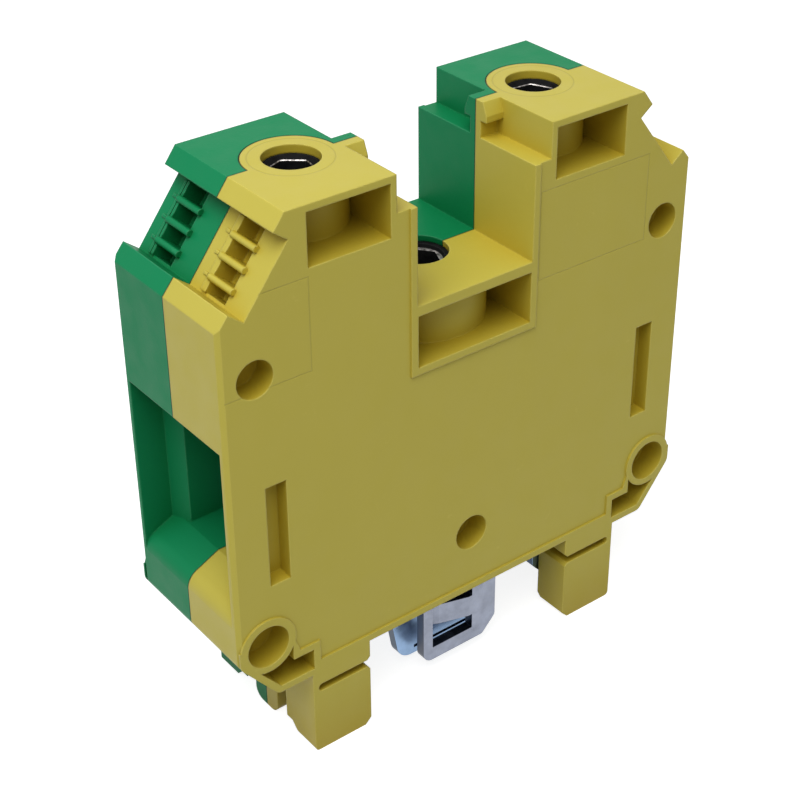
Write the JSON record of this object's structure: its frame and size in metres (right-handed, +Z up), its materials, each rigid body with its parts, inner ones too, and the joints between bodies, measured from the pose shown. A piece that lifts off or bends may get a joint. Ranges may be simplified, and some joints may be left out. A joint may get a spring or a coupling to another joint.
{
  "type": "earth terminal block",
  "caption": "Green and yellow earth terminal block for a mounting rail, with a screw cage clamp at each end and a screw-drawn metal rail foot.",
  "frame": {"origin": "middle of the rail seat: the top face of the rail's flanges, on the parting plane of the housing", "axes": "+X along the block towards the right conductor entry, +Y from the yellow front half to the green rear half, +Z up towards the screws"},
  "size_m": [0.07, 0.022, 0.0755],
  "materials": {
    "yellow_moulding": "moulded, fine texture",
    "green_moulding": "moulded, fine texture",
    "tinned_copper": "tin plated",
    "bright_steel": "zinc plated",
    "zinc_steel": "blue zinc plated",
    "black_steel": "black oxide"
  },
  "bodies": {
    "housing": {"housing_yellow": "yellow_moulding", "housing_green": "green_moulding", "current_bar": "tinned_copper", "contact_sleeve": "tinned_copper", "foot_frame": "bright_steel", "foot_washer": "zinc_steel", "foot_lock_washer": "zinc_steel"},
    "screw_left": {"clamp_screw_left": "black_steel"},
    "screw_right": {"clamp_screw_right": "black_steel"},
    "cage_left": {"clamp_cage_left": "zinc_steel"},
    "cage_right": {"clamp_cage_right": "zinc_steel"},
    "screw_foot": {"foot_screw": "black_steel"},
    "rail_clamp": {"clamp_block": "zinc_steel", "claw_plate_front": "zinc_steel", "claw_plate_rear": "zinc_steel"}
  },
  "joints": [
    {"name": "screw_left_turn", "type": "hinge", "parent": "housing", "child": "screw_left", "pos_m": [-0.01765, 0, 0.05], "axis": [0, 0, -1], "range_deg": [0, 3456]},
    {"name": "cage_left_lift", "type": "slide", "parent": "housing", "child": "cage_left", "axis": [0, 0, 1], "range_m": [0, 0.012]},
    {"name": "screw_right_turn", "type": "hinge", "parent": "housing", "child": "screw_right", "pos_m": [0.01765, 0, 0.05], "axis": [0, 0, -1], "range_deg": [0, 3456]},
    {"name": "cage_right_lift", "type": "slide", "parent": "housing", "child": "cage_right", "axis": [0, 0, 1], "range_m": [0, 0.012]},
    {"name": "foot_screw_turn", "type": "hinge", "parent": "housing", "child": "screw_foot", "pos_m": [0, 0, 0.03], "axis": [0, 0, -1], "range_deg": [0, 1080]},
    {"name": "rail_clamp_lift", "type": "slide", "parent": "housing", "child": "rail_clamp", "axis": [0, 0, 1], "range_m": [0, 0.003]}
  ],
  "couplings": [
    {"joint": "screw_left_turn", "follows": "cage_left_lift", "rad_per_m": 5026.5},
    {"joint": "screw_right_turn", "follows": "cage_right_lift", "rad_per_m": 5026.5},
    {"joint": "foot_screw_turn", "follows": "rail_clamp_lift", "rad_per_m": 6283.2}
  ]
}
